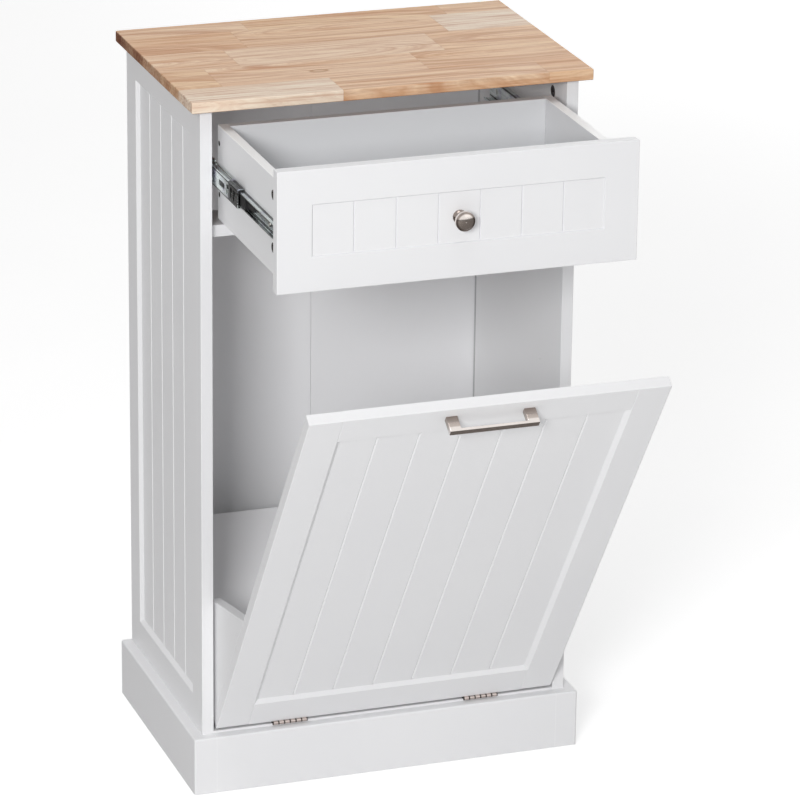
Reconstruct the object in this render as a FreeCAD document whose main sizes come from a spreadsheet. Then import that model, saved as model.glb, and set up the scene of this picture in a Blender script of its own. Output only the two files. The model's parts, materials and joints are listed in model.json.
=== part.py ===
import FreeCAD, Part

# Recycling cabinet: a small floor cabinet with a drawer over a tilt-out door that carries a bin tray.
#
# Frame: X to the right, Y to the rear, Z up, in millimetres. The origin is on the floor, in the
# middle of the width, in the plane of the cabinet's rear. The drawer is modelled pulled out and the
# door tilted open on its stops, as such a cabinet is shown. Every piece is drawn where it lies with
# the drawer and the door closed, and is then moved to its open place.

import math
import os
import re

import Sketcher
from FreeCAD import Placement, Rotation, Vector

# Sizes that can each be set alone, in millimetres, counts and degrees.
SIZES = {
    # carcase
    "cabinet_height": 900,
    "carcase_width": 482,
    "carcase_depth": 320,
    "side_thickness": 15,
    "top_thickness": 14,
    "top_round": 1.5,
    "ledge": 14,
    "plinth_height": 75,
    "plinth_round": 2.5,
    "floor_rise": 3,
    "floor_thickness": 15,
    "back_thickness": 3,
    "back_inset": 7,
    "back_bite": 5,
    "back_seam": 0.6,
    "rail_depth": 58,
    "rail_thickness": 15,
    "rail_gap": 0.5,
    "play": 0.2,
    "pilot_radius": 1.5,
    "pilot_depth": 6,
    "pilot_from_front": 71,
    "pilot_height": 500,
    # milled frame-and-board faces
    "frame_width": 40,
    "recess_depth": 4.5,
    "bevel_run": 5.5,
    "groove_width": 3,
    "groove_depth": 1.5,
    "side_boards": 5,
    "front_boards": 7,
    # door and tray
    "side_gap": 3,
    "front_gap": 3.3,
    "top_gap": 5.5,
    "front_thickness": 15,
    "door_tilt": 34.5,
    "stile_width": 41,
    "rail_top_width": 40,
    "rail_bottom_width": 46,
    "panel_thickness": 7,
    "panel_bite": 6,
    "tray_clearance": 2,
    "tray_thickness": 15,
    "tray_rear_gap": 13,
    "cheek_thickness": 12,
    "cheek_front_height": 205,
    "cheek_rear_height": 108,
    "cheek_depth": 97,
    # door handle
    "handle_centres": 96,
    "handle_foot": 14,
    "handle_height": 8,
    "handle_reach": 21,
    "handle_bar": 4,
    "handle_drop": 17,
    "handle_round": 0.6,
    # hinges
    "hinge_length": 45,
    "hinge_from_middle": 127,
    "hinge_knuckles": 6,
    "knuckle_gap": 0.6,
    "knuckle_radius": 2.3,
    "pin_radius": 1.25,
    "pin_clearance": 0.05,
    "leaf_thickness": 1,
    "leaf_gap": 0.2,
    "leaf_set_back": 0.3,
    "leaf_margin": 1,
    # tilt stops
    "stop_radius": 5,
    "stop_reach": 11,
    "stop_stem_radius": 2.5,
    "stop_stem": 7,
    "stop_from_end": 17,
    "stop_gap": 0.3,
    # drawer
    "travel": 246,
    "middle_travel": 110,
    "drawer_front_height": 148,
    "drawer_margin": 42,
    "drawer_recess": 1.3,
    "drawer_bevel": 1.5,
    "drawer_groove_width": 2.2,
    "drawer_groove_depth": 1,
    "box_rise": 10.5,
    "box_height": 118,
    "box_depth": 250,
    "box_thickness": 12,
    "bottom_thickness": 3,
    "bottom_rise": 8,
    "bottom_bite": 5,
    # knob
    "knob_reach": 23.5,
    "knob_head": 8.5,
    "knob_head_radius": 11.8,
    "knob_dome": 2.6,
    "knob_under_radius": 8.5,
    "knob_under": 1.6,
    "knob_neck_radius": 5.5,
    "knob_base_radius": 8.5,
    "knob_base": 2,
    # slides
    "slide_width": 12.7,
    "slide_setback": 2,
    "slide_rise": 59,
    "sheet_thickness": 1.2,
    "outer_height": 31.6,
    "outer_lip": 1.2,
    "outer_flange": 9.4,
    "middle_height": 24.6,
    "middle_offset": 2.4,
    "middle_flange": 8.6,
    "inner_height": 17.6,
    "inner_flange": 7.6,
    "slot_length": 16,
    "slot_width": 7,
    "catch_slot_width": 5.5,
    "catch_slot_height": 12,
    "cage_thickness": 0.8,
    "cage_gap": 0.2,
    "outer_cage_length": 96,
    "outer_cage_start": 118,
    "inner_cage_length": 100,
    "bumper_length": 17,
    "ball_radius": 1,
    "ball_count": 9,
    "latch_length": 46,
    "latch_gap": 0.5,
    "latch_play": 0.2,
    "latch_depth": 5.6,
    "latch_block": 20,
    "latch_arm": 6,
    "latch_arm_depth": 3.2,
    # fasteners
    "cam_radius": 7.4,
    "cam_depth": 11.5,
    "cam_reach": 29,
    "cam_from_edge": 48,
    "box_cam_radius": 6,
    "box_cam_depth": 9.5,
    "box_cam_reach": 31,
    "box_joint_low": 32,
    "box_joint_high": 96,
    "bolt_radius": 2.5,
    "bolt_bite": 8,
    "fit": 0.1,
    "screw_radius": 1.7,
    "screw_head_radius": 3.4,
    "screw_head": 1.1,
    "screw_bite": 8,
    "leaf_screw_head_radius": 2.6,
    "pan_head": 1.8,
    "back_screw_length": 30,
    "back_screw_radius": 2,
    "back_screw_head": 2.2,
    "machine_screw_radius": 2,
    "machine_head_radius": 4,
    "machine_head": 2.4,
    "machine_bite": 9,
    "dowel_radius": 3,
    "dowel_length": 22,
}

# Where repeated pieces sit, as shares of the board or slide that they sit in.
OUTER_SCREW_SHARES = (0.14, 0.5, 0.9)
INNER_SCREW_SHARES = (0.14, 0.63, 0.9)
OUTER_SLOT_SHARES = (0.32, 0.7)
MIDDLE_SLOT_SHARES = (0.25, 0.5, 0.75)
CATCH_SLOT_SHARES = (0.035, 0.085, 0.145)
PLINTH_DOWEL_SHARES = (0.27, 0.73)
TRAY_DOWEL_SHARES = (-0.7, 0, 0.7)
CHEEK_DOWEL_SHARES = (0.3, 0.8)

document = FreeCAD.newDocument("recycling_cabinet")
sheet = document.addObject("Spreadsheet::Sheet", "Sizes")
for row, (name, amount) in enumerate(SIZES.items(), start=1):
    sheet.set("A%d" % row, name)
    sheet.set("B%d" % row, str(amount))
    sheet.setAlias("B%d" % row, name)
document.recompute()


class Size:
    """The sheet's numbers, read by name."""

    def __getattr__(self, name):
        return float(sheet.get(name))


s = Size()

# Planes and heights that several pieces share.
INNER = s.carcase_width / 2 - s.side_thickness
UNDERSIDE = s.cabinet_height - s.top_thickness
FLOOR_TOP = s.plinth_height + s.floor_rise
FLOOR_BOTTOM = FLOOR_TOP - s.floor_thickness
BACK_FACE = -(s.back_inset + s.back_thickness)
FRONT = -s.carcase_depth
FRONT_BACK = FRONT + s.front_thickness
FRONT_WIDTH = 2 * (INNER - s.side_gap)
DOOR_BOTTOM = FLOOR_TOP + 2 * s.leaf_thickness + s.leaf_gap
DRAWER_BOTTOM = UNDERSIDE - s.top_gap - s.drawer_front_height
DOOR_TOP = DRAWER_BOTTOM - s.front_gap
BOX_BOTTOM = DRAWER_BOTTOM + s.box_rise
BOX_HALF = INNER - s.slide_width
BOX_REAR = FRONT_BACK + s.box_depth
SLIDE_MIDDLE = BOX_BOTTOM + s.slide_rise
SLIDE_FRONT = FRONT_BACK + s.slide_setback
RAIL_TOP = DRAWER_BOTTOM + s.front_gap
RAIL_FRONT = FRONT_BACK + s.rail_gap
AXIS_Y = FRONT - s.knuckle_radius
AXIS_Z = FLOOR_TOP + s.leaf_thickness + s.leaf_gap / 2
TRAY_BOTTOM = DOOR_BOTTOM + s.tray_clearance
TRAY_TOP = TRAY_BOTTOM + s.tray_thickness
TRAY_REAR = -s.tray_rear_gap
RIGHT, REAR, UP = Vector(1, 0, 0), Vector(0, 1, 0), Vector(0, 0, 1)

# The same for sizes that the sheet works out: each is a formula in its names.
front_width = "(carcase_width - 2 * side_thickness - 2 * side_gap)"
door_height = ("(cabinet_height - top_thickness - top_gap - drawer_front_height - front_gap"
               " - plinth_height - floor_rise - 2 * leaf_thickness - leaf_gap)")
tray_depth = "(carcase_depth - front_thickness - tray_rear_gap)"
bottom_width = "(carcase_width - 2 * side_thickness - 2 * slide_width - 2 * box_thickness + 2 * bottom_bite)"
bottom_depth = "(box_depth - box_thickness + 2 * bottom_bite)"
slide_length = "box_depth"

# How far each body is from its closed place.
HINGE = Vector(0, AXIS_Y, AXIS_Z)
CLOSED = Placement()
DRAWER = Placement(Vector(0, -s.travel, 0), Rotation())
MIDDLE = Placement(Vector(0, -s.middle_travel, 0), Rotation())
DOOR = Placement(Vector(), Rotation(RIGHT, s.door_tilt), HINGE)

pieces = {}


def formula(text):
    """A formula in the sheet's names, as the document's objects read it."""
    def aliased(word):
        return "Sizes." + word.group() if word.group() in SIZES else word.group()

    return re.sub(r"[a-z_]+", aliased, text)


def number(text):
    """What a formula comes to, worked out in a spare cell of the sheet."""
    sheet.set("D1", "=" + text)
    sheet.recompute()
    return float(sheet.get("D1"))


def keep(name, shape, pose=CLOSED):
    """Make an object one of the cabinet's pieces, moved from its closed place by pose."""
    shape.Label = name
    shape.Placement = pose.multiply(shape.Placement)
    pieces[name] = shape
    return shape


def keep_pair(name, left, pose=CLOSED):
    """Keep a left-hand piece and its mirror image on the right."""
    keep(name + "_left", left, pose)
    right = document.addObject("Part::Mirroring", name + "_right")
    right.Source = left
    right.Normal = RIGHT
    right.Label = name + "_right"
    pieces[name + "_right"] = right


def box(name, length, width, height, corner):
    """A block whose three sizes are formulas, with its lowest corner at corner."""
    block = document.addObject("Part::Box", name)
    for side, text in (("Length", length), ("Width", width), ("Height", height)):
        block.setExpression(side, formula(text))
    block.Placement.Base = Vector(*corner)
    return block


def solid(name, shapes):
    """Shapes that no sketch fits, held as one object; several stay separate solids."""
    holder = document.addObject("Part::Feature", name)
    holder.Shape = shapes[0] if len(shapes) == 1 else Part.makeCompound(shapes)
    return holder


def cut(name, base, tools):
    """The base less each of the tools."""
    document.recompute()
    result = document.addObject("Part::Cut", name)
    result.Base = base
    if len(tools) == 1:
        result.Tool = tools[0]
    else:
        result.Tool = document.addObject("Part::Compound", name + "_tools")
        result.Tool.Links = tools
    return result


def turned(profile, place, direction):
    """A round shape from (radius, height) corners, standing at place along direction."""
    corners = [Vector(radius, 0, height) for radius, height in profile]
    corners = [Vector(0, 0, profile[0][1])] + corners + [Vector(0, 0, profile[-1][1])]
    kept = [corner for i, corner in enumerate(corners)
            if i == 0 or corner.distanceToPoint(corners[i - 1]) > 0]
    face = Part.Face(Part.makePolygon(kept + [kept[0]]))
    shape = face.revolve(Vector(), UP, 360)
    shape.Placement = Placement(place, Rotation(UP, direction))
    return shape


def rod(radius, length, place, direction):
    return turned([(radius, 0), (radius, length)], place, direction)


def origin_part(body, role):
    return [part for part in body.Origin.OriginFeatures if part.Role == role][0]


def hold(drawing, corner, kind, axis, text):
    """Tie one corner of a drawing to a distance from the origin, or to an axis where it is 0."""
    if text == "0":
        drawing.addConstraint(Sketcher.Constraint("PointOnObject", corner, 1, axis))
        return
    tie = drawing.addConstraint(Sketcher.Constraint(kind, -1, 1, corner, 1, number(text)))
    tie_name = "%s_%d" % (kind.lower(), corner)
    drawing.renameConstraint(tie, tie_name)
    drawing.setExpression("Constraints." + tie_name, formula(text))


def outline(body, name, role, corners, lift="0"):
    """A closed outline of straight lines on one of the body's planes, each corner a pair of formulas."""
    drawing = body.newObject("Sketcher::SketchObject", name)
    drawing.AttachmentSupport = [(origin_part(body, role), "")]
    drawing.MapMode = "FlatFace"
    if lift != "0":
        drawing.setExpression("AttachmentOffset.Base.z", formula(lift))
    points = [Vector(number(across), number(along), 0) for across, along in corners]
    for i, point in enumerate(points):
        drawing.addGeometry(Part.LineSegment(point, points[(i + 1) % len(points)]))
    for i, (across, along) in enumerate(corners):
        drawing.addConstraint(Sketcher.Constraint("Coincident", i, 2, (i + 1) % len(points), 1))
        hold(drawing, i, "DistanceX", -2, across)
        hold(drawing, i, "DistanceY", -1, along)
    return drawing


def rectangle(left, low, right, high):
    return [(left, low), (right, low), (right, high), (left, high)]


def feature(body, kind, name, profile, length, reverse=False):
    """A pad or a pocket of a drawing; each pocket has to take some of the solid away."""
    document.recompute()
    before = body.Shape.Volume if kind == "Pocket" else 0
    made = body.newObject("PartDesign::" + kind, name)
    made.Profile = profile
    made.setExpression("Length", formula(length))
    made.Reversed = reverse
    document.recompute()
    if kind == "Pocket" and not body.Shape.Volume < before:
        raise ValueError(name + " cuts nothing")
    return made


def extrusion(name, role, corners, length, lift="0", reverse=False):
    """A body made by one pad."""
    body = document.addObject("PartDesign::Body", name)
    section = outline(body, name + "_outline", role, corners, lift)
    feature(body, "Pad", name + "_pad", section, length, reverse)
    return body


def milled_board(name, width, height, thickness, margins, recess, bevel, groove, boards):
    """A board with a bevelled recess in its show face and V-grooves down the recess.

    Its own frame: X across, Y up, Z into the board from the show face.
    """
    side, low, high = margins
    groove_width, groove_depth = groove
    right, top = "%s - %s" % (width, side), "%s - (%s)" % (height, high)
    body = extrusion(name, "XY_Plane", rectangle("0", "0", width, height), thickness)
    drawing = outline(body, name + "_recess", "XY_Plane", rectangle(side, low, right, top))
    pocket = feature(body, "Pocket", name + "_recess_cut", drawing, recess, reverse=True)
    pocket.setExpression("TaperAngle", formula("-atan(%s / %s)" % (bevel, recess)))
    pitch = "(%s - 2 * %s) / %s" % (width, side, boards)
    vee = [
        ("%s + %s - %s / 2" % (side, pitch, groove_width), recess),
        ("%s + %s + %s / 2" % (side, pitch, groove_width), recess),
        ("%s + %s" % (side, pitch), "%s + %s" % (recess, groove_depth)),
    ]
    drawing = outline(body, name + "_vee", "XZ_Plane", vee, "-(%s + %s)" % (low, bevel))
    run = "%s - (%s) - (%s) - 2 * %s" % (height, low, high, bevel)
    first = feature(body, "Pocket", name + "_vee_cut", drawing, run)
    row = body.newObject("PartDesign::LinearPattern", name + "_vees")
    row.Originals = [first]
    row.Direction = (origin_part(body, "X_Axis"), [""])
    row.setExpression("Length", formula("(%s - 2) * %s" % (boards, pitch)))
    row.setExpression("Occurrences", formula("%s - 1" % boards))
    body.Tip = row
    return body


# Fasteners. A screw's place is the middle of its head's underside where the head stands out, or of
# its head's top where it is countersunk; its direction points out of the wood. The same shape is
# also its hole.
def screw(place, direction, radius, head_radius, head, length, pan=0.0):
    """A countersunk screw, or with pan a flat head that stands out by pan."""
    if pan:
        profile = [(radius, -length), (radius, 0), (head_radius, 0), (head_radius, pan)]
    else:
        profile = [(radius, -length), (radius, -head), (head_radius, 0)]
    return turned(profile, place, direction)


def sheet_screw(place, direction, pan=0.0):
    length = s.screw_bite + (0 if pan else s.screw_head)
    return screw(place, direction, s.screw_radius, s.screw_head_radius, s.screw_head, length, pan)


class CamJoint:
    """A cam in one board's face and the bolt that it pulls, which is screwed into the next board."""

    def __init__(self, place, outward, toward, size, axis_depth):
        self.place, self.outward, self.toward = place, outward, toward
        self.radius, self.depth, self.reach = size
        self.axis_point = place - outward * axis_depth

    def bolt(self):
        start = self.radius / 2
        place = self.axis_point + self.toward * start
        return rod(s.bolt_radius, self.reach + s.bolt_bite - start, place, self.toward)

    def cam(self):
        return rod(self.radius, self.depth, self.place, self.outward * -1).cut(self.bolt())

    def holes(self):
        return [rod(self.radius + s.fit, self.depth, self.place, self.outward * -1), self.bolt()]


half_side = s.side_thickness / 2
cam_size = (s.cam_radius, s.cam_depth, s.cam_reach)
box_cam_size = (s.box_cam_radius, s.box_cam_depth, s.box_cam_reach)
cam_rows = (FRONT + s.cam_from_edge, -s.cam_from_edge)
box_rows = (BOX_BOTTOM + s.box_joint_low, BOX_BOTTOM + s.box_joint_high)
top_joints = [
    CamJoint(Vector(hand * INNER, y, UNDERSIDE - s.cam_reach), RIGHT * -hand, UP, cam_size, half_side)
    for hand in (-1, 1) for y in cam_rows
]
floor_joints = [
    CamJoint(Vector(hand * (INNER - s.cam_reach), y, FLOOR_BOTTOM), UP * -1, RIGHT * hand, cam_size,
             s.floor_thickness / 2)
    for hand in (-1, 1) for y in cam_rows
]
rail_joints = [
    CamJoint(Vector(hand * (INNER - s.cam_reach), RAIL_FRONT + s.rail_depth / 2,
                    RAIL_TOP - s.rail_thickness),
             UP * -1, RIGHT * hand, cam_size, s.rail_thickness / 2)
    for hand in (-1, 1)
]
drawer_joints = [
    CamJoint(Vector(hand * BOX_HALF, FRONT_BACK + s.box_cam_reach, z), RIGHT * hand, REAR * -1, box_cam_size,
             s.box_thickness / 2)
    for hand in (-1, 1) for z in box_rows
]


def joint_holes(joints):
    return [hole for joint in joints for hole in joint.holes()]


# Slide screws: through the outer member's web into the side panel, and through the inner member's
# web into the drawer's side.
outer_spots = [Vector(-INNER + s.sheet_thickness, SLIDE_FRONT + share * s.box_depth, SLIDE_MIDDLE)
               for share in OUTER_SCREW_SHARES]
inner_spots = [Vector(-BOX_HALF - s.sheet_thickness, SLIDE_FRONT + share * s.box_depth, SLIDE_MIDDLE)
               for share in INNER_SCREW_SHARES]


def both_hands(shapes):
    return shapes + [shape.mirror(Vector(), RIGHT) for shape in shapes]


# Stops: the tray's floor comes up against them when the door is at its full tilt.
stop_closed = Vector(-INNER, TRAY_REAR - s.stop_from_end, TRAY_TOP + s.stop_gap + s.stop_radius)
stop_place = DOOR.multVec(stop_closed)

# Dowels join the plinth's front to the side panels, and the tray's boards to the door.
dowel_front = s.dowel_length / 3
plinth_dowel_spots = [
    (Vector(hand * (INNER + half_side), FRONT - dowel_front, share * s.plinth_height), REAR)
    for hand in (-1, 1) for share in PLINTH_DOWEL_SHARES
]
tray_middle = TRAY_BOTTOM + s.tray_thickness / 2
tray_dowel_spots = [
    (Vector(share * FRONT_WIDTH / 2, FRONT_BACK - dowel_front, tray_middle), REAR)
    for share in TRAY_DOWEL_SHARES
]
cheek_middle = FRONT_WIDTH / 2 - s.cheek_thickness / 2
for hand in (-1, 1):
    for share in CHEEK_DOWEL_SHARES:
        x = hand * cheek_middle
        into_door = Vector(x, FRONT_BACK - dowel_front, TRAY_TOP + share * s.cheek_front_height)
        into_base = Vector(x, FRONT_BACK + share * s.cheek_depth, TRAY_TOP - s.dowel_length / 2)
        tray_dowel_spots += [(into_door, REAR), (into_base, UP)]


def dowels(spots):
    return [rod(s.dowel_radius, s.dowel_length, place, way) for place, way in spots]


# Hinge screws: half of them go down through the floor leaves, half up through the door leaves.
leaf_rear = FRONT + s.front_thickness - s.leaf_margin
hinge_spots = [
    (hand * s.hinge_from_middle + step * s.hinge_length / 3, (FRONT + leaf_rear) / 2)
    for hand in (-1, 1) for step in (-1, 1)
]
floor_screw_spots = [(Vector(x, y, FLOOR_TOP + s.leaf_thickness), UP) for x, y in hinge_spots]
door_screw_spots = [(Vector(x, y, DOOR_BOTTOM - s.leaf_thickness), UP * -1) for x, y in hinge_spots]


def leaf_screws(spots):
    return [screw(place, way, s.screw_radius, s.leaf_screw_head_radius, s.leaf_thickness,
                  s.screw_bite + s.leaf_thickness) for place, way in spots]


# Worktop: one board of jointed staves, its edges eased.
worktop = extrusion("worktop", "XY_Plane", rectangle(
    "0", "0", "carcase_width + 2 * ledge", "carcase_depth + ledge"), "top_thickness")
ease = worktop.newObject("PartDesign::Fillet", "worktop_ease")
ease.Base = (worktop.getObject("worktop_pad"), ["Edge%d" % (i + 1) for i in range(12)])
ease.setExpression("Radius", formula("top_round"))
worktop.Tip = ease
worktop.Placement.Base = Vector(-s.carcase_width / 2 - s.ledge, FRONT - s.ledge, UNDERSIDE)
keep("worktop", cut("worktop_drilled", worktop, [solid("worktop_holes", joint_holes(top_joints))]))

# Side panels: the milled face is outside; a groove near the rear holds the back panel.
side = milled_board("side_board", "carcase_depth", "(cabinet_height - top_thickness)", "side_thickness",
                    ("frame_width", "plinth_height + frame_width", "frame_width"),
                    "recess_depth", "bevel_run", ("groove_width", "groove_depth"), "side_boards")
side.Placement = Placement(Vector(-s.carcase_width / 2, FRONT, 0), Rotation(REAR, UP, RIGHT, "XYZ"))
back_groove = box("back_groove", "back_bite + play", "back_thickness + play", "cabinet_height",
                  (-INNER - s.back_bite - s.play, BACK_FACE - s.play / 2, FLOOR_BOTTOM))
side_holes = joint_holes(top_joints[:2] + floor_joints[:2] + rail_joints[:1])
side_holes += [sheet_screw(place, RIGHT) for place in outer_spots]
side_holes += dowels(plinth_dowel_spots[:2])
side_holes.append(rod(s.stop_stem_radius, s.stop_stem, stop_place, RIGHT * -1))
# A small hole half-way up, left free for a fitting of the bin.
side_holes.append(rod(s.pilot_radius, s.pilot_depth,
                      Vector(-INNER, FRONT + s.pilot_from_front, s.pilot_height), RIGHT * -1))
keep_pair("side_panel", cut("side_drilled", side, [back_groove, solid("side_holes", side_holes)]))

# Cabinet floor and the two halves of the back.
floor_board = box("floor_board", "carcase_width - 2 * side_thickness",
                  "carcase_depth - back_inset - back_thickness", "floor_thickness",
                  (-INNER, FRONT, FLOOR_BOTTOM))
floor_holes = joint_holes(floor_joints) + leaf_screws(floor_screw_spots)
keep("floor_panel", cut("floor_drilled", floor_board, [solid("floor_holes", floor_holes)]))
back = box("back_half", "carcase_width / 2 - side_thickness + back_bite - back_seam / 2", "back_thickness",
           "cabinet_height - top_thickness - plinth_height - floor_rise + floor_thickness - play",
           (-INNER - s.back_bite, BACK_FACE, FLOOR_BOTTOM))
keep_pair("back_panel", back)

# Cross rail between the door and the drawer.
rail = box("rail_board", "carcase_width - 2 * side_thickness", "rail_depth", "rail_thickness",
           (-INNER, RAIL_FRONT, RAIL_TOP - s.rail_thickness))
keep("drawer_rail", cut("rail_drilled", rail, [solid("rail_holes", joint_holes(rail_joints))]))

# Plinth: a ring of boards round the foot of the carcase, rounded outside and mitred at the front.
ring = box("plinth_ring", "carcase_width + 2 * ledge", "carcase_depth + ledge", "plinth_height",
           (-s.carcase_width / 2 - s.ledge, FRONT - s.ledge, 0))
document.recompute()
rounded = document.addObject("Part::Fillet", "plinth_rounded")
rounded.Base = ring
outer_edges = []
for i, edge in enumerate(ring.Shape.Edges, start=1):
    middle = edge.CenterOfMass
    on_top = middle.z > s.plinth_height - s.play and middle.y < -s.play
    upright = middle.y < FRONT and s.play < middle.z < s.plinth_height - s.play
    if on_top or upright:
        outer_edges.append((i, s.plinth_round, s.plinth_round))
rounded.Edges = outer_edges
core = box("plinth_core", "carcase_width", "carcase_depth", "plinth_height",
           (-s.carcase_width / 2, FRONT, 0))
hollow = cut("plinth_hollow", rounded, [core])
mitres = {
    "plinth_front": [("0", "0"), ("carcase_width + 2 * ledge", "0"), ("carcase_width + ledge", "ledge"),
                     ("ledge", "ledge")],
    "plinth_left": [("0", "0"), ("ledge", "ledge"), ("ledge", "carcase_depth + ledge"),
                    ("0", "carcase_depth + ledge")],
}
plinth = {}
for name, corners in mitres.items():
    wedge = extrusion(name + "_wedge", "XY_Plane", corners, "plinth_height")
    wedge.Placement.Base = Vector(-s.carcase_width / 2 - s.ledge, FRONT - s.ledge, 0)
    plinth[name] = document.addObject("Part::Common", name + "_board")
    plinth[name].Base = hollow
    plinth[name].Tool = wedge
keep("plinth_front", cut("plinth_front_drilled", plinth["plinth_front"],
                         [solid("plinth_holes", dowels(plinth_dowel_spots))]))
keep_pair("plinth", plinth["plinth_left"])
keep("plinth_back", box("plinth_rear_board", "carcase_width - 2 * side_thickness", "ledge",
                        "plinth_height + floor_rise - floor_thickness", (-INNER, -s.ledge, 0)))

# Carcase hardware.
carcase_joints = top_joints + floor_joints + rail_joints
keep("carcase_cams", solid("carcase_cam_set", [joint.cam() for joint in carcase_joints]))
keep("carcase_cam_bolts", solid("carcase_bolt_set", [joint.bolt() for joint in carcase_joints]))
keep("plinth_dowels", solid("plinth_dowel_set", dowels(plinth_dowel_spots)))
stop = rod(s.stop_radius, s.stop_reach, stop_place, RIGHT).fuse(
    rod(s.stop_stem_radius, s.stop_stem, stop_place, RIGHT * -1))
keep("tilt_stops", solid("stop_set", both_hands([stop])))

# Hinges: two leaves whose knuckles alternate along one pin.
knuckle = (s.hinge_length - (s.hinge_knuckles - 1) * s.knuckle_gap) / s.hinge_knuckles
hinge_left = -s.hinge_from_middle - s.hinge_length / 2


def hinge_rod(radius, start, length):
    return rod(radius, length, Vector(hinge_left + start, AXIS_Y, AXIS_Z), RIGHT)


def leaf(first, low, bore_radius, screws):
    """One leaf of the left hinge, with every second knuckle from first; low is its underside."""
    plate_front = FRONT + s.leaf_set_back
    shape = Part.makeBox(s.hinge_length, leaf_rear - plate_front, s.leaf_thickness,
                         Vector(hinge_left, plate_front, low))
    for i in range(first, int(s.hinge_knuckles), 2):
        start = i * (knuckle + s.knuckle_gap)
        tab = Part.makeBox(knuckle, plate_front - AXIS_Y, s.leaf_thickness,
                           Vector(hinge_left + start, AXIS_Y, low))
        shape = shape.fuse([hinge_rod(s.knuckle_radius, start, knuckle), tab])
    return shape.cut([hinge_rod(bore_radius, 0, s.hinge_length)] + screws).removeSplitter()


floor_leaf = leaf(0, FLOOR_TOP, s.pin_radius, leaf_screws(floor_screw_spots[:2]))
door_leaf = leaf(1, DOOR_BOTTOM - s.leaf_thickness, s.pin_radius + s.pin_clearance,
                 leaf_screws(door_screw_spots[:2]))
keep_pair("hinge_floor_leaf", solid("floor_leaf_shape", [floor_leaf]))
keep_pair("hinge_door_leaf", solid("door_leaf_shape", [door_leaf]), DOOR)
keep("hinge_pins", solid("hinge_pin_set", both_hands([hinge_rod(s.pin_radius, 0, s.hinge_length)])))
keep("hinge_floor_screws", solid("floor_screw_set", leaf_screws(floor_screw_spots)))
keep("hinge_door_screws", solid("door_screw_set", leaf_screws(door_screw_spots)), DOOR)

# Door: stiles run the full height; rails are coped over the bevel of the stiles; the boarded panel
# sits in grooves of all four.
door_left = -FRONT_WIDTH / 2
stile_section = [("0", "0"), ("stile_width", "0"), ("stile_width + bevel_run", "recess_depth"),
                 ("stile_width + bevel_run", "front_thickness"), ("0", "front_thickness")]
stile = extrusion("stile_stock", "XY_Plane", stile_section, door_height)
stile.Placement.Base = Vector(door_left, FRONT, DOOR_BOTTOM)
stile_right = document.addObject("Part::Mirroring", "stile_stock_right")
stile_right.Source = stile
stile_right.Normal = RIGHT
panel_width = "(%s - 2 * stile_width - 2 * bevel_run + 2 * panel_bite)" % front_width
panel_height = door_height + " - rail_top_width - rail_bottom_width - 2 * bevel_run + 2 * panel_bite"
panel_left = door_left + s.stile_width + s.bevel_run - s.panel_bite
panel_low = DOOR_BOTTOM + s.rail_bottom_width + s.bevel_run - s.panel_bite
panel_front = FRONT + s.recess_depth
groove_tool = box("panel_groove", panel_width + " + 2 * play", "panel_thickness + play",
                  panel_height + " + 2 * play", (panel_left - s.play, panel_front, panel_low - s.play))
tray_holes = solid("tray_dowel_holes", dowels(tray_dowel_spots))
keep_pair("door_stile", cut("stile_cut", stile, [groove_tool, tray_holes]), DOOR)

handle_up = DOOR_TOP - s.handle_drop


def through_hole(x, z):
    """The hole through a front board for a machine screw."""
    return rod(s.machine_screw_radius + s.fit, s.front_thickness, Vector(x, FRONT, z), REAR)


handle_holes = [through_hole(hand * s.handle_centres / 2, handle_up) for hand in (-1, 1)]
rail_sections = {
    "door_rail_top": ([("0", "0"), ("front_thickness", "0"), ("front_thickness", "rail_top_width + bevel_run"),
                       ("recess_depth", "rail_top_width + bevel_run"), ("0", "rail_top_width")], -1, DOOR_TOP),
    "door_rail_bottom": ([("0", "0"), ("front_thickness", "0"),
                          ("front_thickness", "rail_bottom_width + bevel_run"),
                          ("recess_depth", "rail_bottom_width + bevel_run"), ("0", "rail_bottom_width")],
                         1, DOOR_BOTTOM),
}
for name, (section, way, height) in rail_sections.items():
    stock = extrusion(name + "_stock", "XY_Plane", section, front_width)
    turn = Rotation(REAR, UP * way, RIGHT * way, "XYZ")
    stock.Placement = Placement(Vector(door_left * way, FRONT, height), turn)
    tools = [stile, stile_right, groove_tool]
    if way > 0:
        tools += [tray_holes, solid("hinge_screw_holes", leaf_screws(door_screw_spots))]
    else:
        tools.append(solid("handle_holes", handle_holes))
    keep(name, cut(name + "_cut", stock, tools), DOOR)

panel = extrusion("panel_board", "XY_Plane", rectangle("0", "0", panel_width, panel_height),
                  "panel_thickness")
panel_pitch = "((%s - 2 * stile_width) / front_boards)" % front_width
first_vee = "(%s - bevel_run + panel_bite)" % panel_pitch
vee = outline(panel, "panel_vee", "XZ_Plane", [
    (first_vee + " - groove_width / 2", "0"), (first_vee + " + groove_width / 2", "0"),
    (first_vee, "groove_depth")])
vee_cut = feature(panel, "Pocket", "panel_vee_cut", vee, panel_height)
vees = panel.newObject("PartDesign::LinearPattern", "panel_vees")
vees.Originals = [vee_cut]
vees.Direction = (origin_part(panel, "X_Axis"), [""])
vees.setExpression("Length", formula("(front_boards - 2) * " + panel_pitch))
vees.setExpression("Occurrences", formula("front_boards - 1"))
panel.Tip = vees
panel.Placement = Placement(Vector(-panel_left, panel_front, panel_low),
                            Rotation(RIGHT * -1, UP, REAR, "XYZ"))
keep("door_panel", panel, DOOR)

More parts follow.
